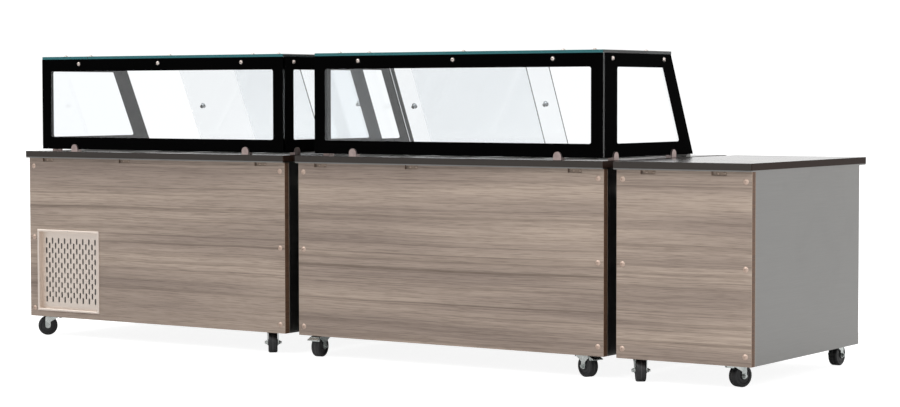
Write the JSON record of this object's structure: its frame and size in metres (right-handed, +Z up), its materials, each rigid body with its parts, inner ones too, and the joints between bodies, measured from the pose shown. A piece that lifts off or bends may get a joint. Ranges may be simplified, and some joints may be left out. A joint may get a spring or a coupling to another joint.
{
  "type": "mobile salad bar",
  "caption": "Mobile salad bar: glazed cold counters with sliding rear doors and a plain end counter in line, laminate fronts, vent grille, swivel casters.",
  "frame": {"origin": "on the floor under the centre of the line's footprint", "axes": "+X along the line to the customer's right, from the long counters to the short one; +Y from the customers' side to the servers' side; +Z up"},
  "size_m": [3.754, 1.0683, 1.3077],
  "materials": {
    "stainless": "satin, fine level brushing",
    "laminate": "grey-brown walnut laminate, level grain, matt",
    "counter_laminate": "smooth dark brown-black laminate, slight sheen",
    "satin_steel": "satin, warm",
    "grille_sheet": "satin, warm silver",
    "painted_unit": "dark grey machine paint",
    "black_plastic": "moulded black",
    "clear_glass": "clear, polished edges",
    "black_frit": "black border fired on the glass",
    "zinc_steel": "bright zinc plate",
    "caster_rubber": "matt black"
  },
  "bodies": {
    "lineup": {"cabinet_left": "stainless", "cabinet_middle": "stainless", "cabinet_short": "stainless", "panel_left": "laminate", "panel_middle": "laminate", "panel_short": "laminate", "front_hardware": "satin_steel", "counter_left": "counter_laminate", "counter_middle": "counter_laminate", "counter_short": "counter_laminate", "well_left": "stainless", "well_middle": "stainless", "pan_bars": "stainless", "vent_grille": "grille_sheet", "condensing_unit": "painted_unit", "service_panel": "stainless", "shelves": "stainless", "front_glass": "clear_glass", "top_glass": "clear_glass", "end_glass": "clear_glass", "glass_frit": "black_frit", "glass_clamps": "satin_steel", "glass_bolts": "satin_steel", "door_tracks": "stainless"},
    "fan": {"fan_blades": "black_plastic"},
    "switch": {"power_switch": "black_plastic"},
    "door_left_inner": {"door_left_inner": "clear_glass", "knob_left_inner": "satin_steel"},
    "door_left_outer": {"door_left_outer": "clear_glass", "knob_left_outer": "satin_steel"},
    "door_middle_inner": {"door_middle_inner": "clear_glass", "knob_middle_inner": "satin_steel"},
    "door_middle_outer": {"door_middle_outer": "clear_glass", "knob_middle_outer": "satin_steel"},
    "fork_left_fl": {"fork_left_fl": "zinc_steel"},
    "wheel_left_fl": {"wheel_left_fl": "caster_rubber"},
    "fork_left_fr": {"fork_left_fr": "zinc_steel"},
    "wheel_left_fr": {"wheel_left_fr": "caster_rubber"},
    "fork_left_rl": {"fork_left_rl": "zinc_steel"},
    "wheel_left_rl": {"wheel_left_rl": "caster_rubber"},
    "fork_left_rr": {"fork_left_rr": "zinc_steel"},
    "wheel_left_rr": {"wheel_left_rr": "caster_rubber"},
    "fork_middle_fl": {"fork_middle_fl": "zinc_steel"},
    "wheel_middle_fl": {"wheel_middle_fl": "caster_rubber"},
    "brake_middle_fl": {"brake_middle_fl": "zinc_steel"},
    "fork_middle_fr": {"fork_middle_fr": "zinc_steel"},
    "wheel_middle_fr": {"wheel_middle_fr": "caster_rubber"},
    "brake_middle_fr": {"brake_middle_fr": "zinc_steel"},
    "fork_middle_rl": {"fork_middle_rl": "zinc_steel"},
    "wheel_middle_rl": {"wheel_middle_rl": "caster_rubber"},
    "fork_middle_rr": {"fork_middle_rr": "zinc_steel"},
    "wheel_middle_rr": {"wheel_middle_rr": "caster_rubber"},
    "fork_short_fl": {"fork_short_fl": "zinc_steel"},
    "wheel_short_fl": {"wheel_short_fl": "caster_rubber"},
    "fork_short_fr": {"fork_short_fr": "zinc_steel"},
    "wheel_short_fr": {"wheel_short_fr": "caster_rubber"},
    "fork_short_rl": {"fork_short_rl": "zinc_steel"},
    "wheel_short_rl": {"wheel_short_rl": "caster_rubber"},
    "fork_short_rr": {"fork_short_rr": "zinc_steel"},
    "wheel_short_rr": {"wheel_short_rr": "caster_rubber"}
  },
  "joints": [
    {"name": "slide_left_inner", "type": "slide", "parent": "lineup", "child": "door_left_inner", "axis": [1, 0, 0], "range_m": [-0.36, 0.316]},
    {"name": "slide_left_outer", "type": "slide", "parent": "lineup", "child": "door_left_outer", "axis": [1, 0, 0], "range_m": [-0.676, 0]},
    {"name": "slide_middle_inner", "type": "slide", "parent": "lineup", "child": "door_middle_inner", "axis": [1, 0, 0], "range_m": [0, 0.676]},
    {"name": "slide_middle_outer", "type": "slide", "parent": "lineup", "child": "door_middle_outer", "axis": [1, 0, 0], "range_m": [-0.099, 0.577]},
    {"name": "switch_rock", "type": "hinge", "parent": "lineup", "child": "switch", "pos_m": [-1.467, 0.478, 0.727], "axis": [1, 0, 0], "range_deg": [0, 18]},
    {"name": "brake_middle_fl", "type": "hinge", "parent": "fork_middle_fl", "child": "brake_middle_fl", "pos_m": [-0.19854, -0.50092, 0.08402], "axis": [0.9925, 0.1219, 0], "range_deg": [-12, 0]},
    {"name": "brake_middle_fr", "type": "hinge", "parent": "fork_middle_fr", "child": "brake_middle_fr", "pos_m": [1.14738, -0.45801, 0.08402], "axis": [0.3746, 0.9272, 0], "range_deg": [-12, 0]},
    {"name": "fan_spin", "type": "hinge", "parent": "lineup", "child": "fan", "pos_m": [-1.637, -0.4277, 0.3173], "axis": [0, 1, 0], "continuous": true},
    {"name": "swivel_left_fl", "type": "hinge", "parent": "lineup", "child": "fork_left_fl", "pos_m": [-1.785, -0.432, 0.104], "axis": [0, 0, 1], "continuous": true},
    {"name": "roll_left_fl", "type": "hinge", "parent": "fork_left_fl", "child": "wheel_left_fl", "pos_m": [-1.81234, -0.4584, 0.0445], "axis": [0.6947, -0.7193, 0], "continuous": true},
    {"name": "swivel_left_fr", "type": "hinge", "parent": "lineup", "child": "fork_left_fr", "pos_m": [-0.489, -0.432, 0.104], "axis": [0, 0, 1], "continuous": true},
    {"name": "roll_left_fr", "type": "hinge", "parent": "fork_left_fr", "child": "wheel_left_fr", "pos_m": [-0.4656, -0.46194, 0.0445], "axis": [0.788, 0.6157, 0], "continuous": true},
    {"name": "swivel_left_rl", "type": "hinge", "parent": "lineup", "child": "fork_left_rl", "pos_m": [-1.785, 0.418, 0.104], "axis": [0, 0, 1], "continuous": true},
    {"name": "roll_left_rl", "type": "hinge", "parent": "fork_left_rl", "child": "wheel_left_rl", "pos_m": [-1.82153, 0.40753, 0.0445], "axis": [0.2756, -0.9613, 0], "continuous": true},
    {"name": "swivel_left_rr", "type": "hinge", "parent": "lineup", "child": "fork_left_rr", "pos_m": [-0.489, 0.418, 0.104], "axis": [0, 0, 1], "continuous": true},
    {"name": "roll_left_rr", "type": "hinge", "parent": "fork_left_rr", "child": "wheel_left_rr", "pos_m": [-0.47116, 0.45155, 0.0445], "axis": [-0.8829, 0.4695, 0], "continuous": true},
    {"name": "swivel_middle_fl", "type": "hinge", "parent": "lineup", "child": "fork_middle_fl", "pos_m": [-0.207, -0.432, 0.104], "axis": [0, 0, 1], "continuous": true},
    {"name": "roll_middle_fl", "type": "hinge", "parent": "fork_middle_fl", "child": "wheel_middle_fl", "pos_m": [-0.20237, -0.46972, 0.0445], "axis": [0.9925, 0.1219, 0], "continuous": true},
    {"name": "swivel_middle_fr", "type": "hinge", "parent": "lineup", "child": "fork_middle_fr", "pos_m": [1.083, -0.432, 0.104], "axis": [0, 0, 1], "continuous": true},
    {"name": "roll_middle_fr", "type": "hinge", "parent": "fork_middle_fr", "child": "wheel_middle_fr", "pos_m": [1.11823, -0.44623, 0.0445], "axis": [0.3746, 0.9272, 0], "continuous": true},
    {"name": "swivel_middle_rl", "type": "hinge", "parent": "lineup", "child": "fork_middle_rl", "pos_m": [-0.207, 0.418, 0.104], "axis": [0, 0, 1], "continuous": true},
    {"name": "roll_middle_rl", "type": "hinge", "parent": "fork_middle_rl", "child": "wheel_middle_rl", "pos_m": [-0.23923, 0.43814, 0.0445], "axis": [-0.5299, -0.848, 0], "continuous": true},
    {"name": "swivel_middle_rr", "type": "hinge", "parent": "lineup", "child": "fork_middle_rr", "pos_m": [1.083, 0.418, 0.104], "axis": [0, 0, 1], "continuous": true},
    {"name": "roll_middle_rr", "type": "hinge", "parent": "fork_middle_rr", "child": "wheel_middle_rr", "pos_m": [1.0764, 0.45542, 0.0445], "axis": [-0.9848, -0.1736, 0], "continuous": true},
    {"name": "swivel_short_fl", "type": "hinge", "parent": "lineup", "child": "fork_short_fl", "pos_m": [1.346, -0.432, 0.104], "axis": [0, 0, 1], "continuous": true},
    {"name": "roll_short_fl", "type": "hinge", "parent": "fork_short_fl", "child": "wheel_short_fl", "pos_m": [1.36725, -0.4635, 0.0445], "axis": [0.829, 0.5592, 0], "continuous": true},
    {"name": "swivel_short_fr", "type": "hinge", "parent": "lineup", "child": "fork_short_fr", "pos_m": [1.753, -0.432, 0.104], "axis": [0, 0, 1], "continuous": true},
    {"name": "roll_short_fr", "type": "hinge", "parent": "fork_short_fr", "child": "wheel_short_fr", "pos_m": [1.76723, -0.39677, 0.0445], "axis": [-0.9272, 0.3746, 0], "continuous": true},
    {"name": "swivel_short_rl", "type": "hinge", "parent": "lineup", "child": "fork_short_rl", "pos_m": [1.346, 0.418, 0.104], "axis": [0, 0, 1], "continuous": true},
    {"name": "roll_short_rl", "type": "hinge", "parent": "fork_short_rl", "child": "wheel_short_rl", "pos_m": [1.3093, 0.42784, 0.0445], "axis": [-0.2588, -0.9659, 0], "continuous": true},
    {"name": "swivel_short_rr", "type": "hinge", "parent": "lineup", "child": "fork_short_rr", "pos_m": [1.783, 0.418, 0.104], "axis": [0, 0, 1], "continuous": true},
    {"name": "roll_short_rr", "type": "hinge", "parent": "fork_short_rr", "child": "wheel_short_rr", "pos_m": [1.78366, 0.45599, 0.0445], "axis": [-0.9998, 0.0175, 0], "continuous": true}
  ]
}
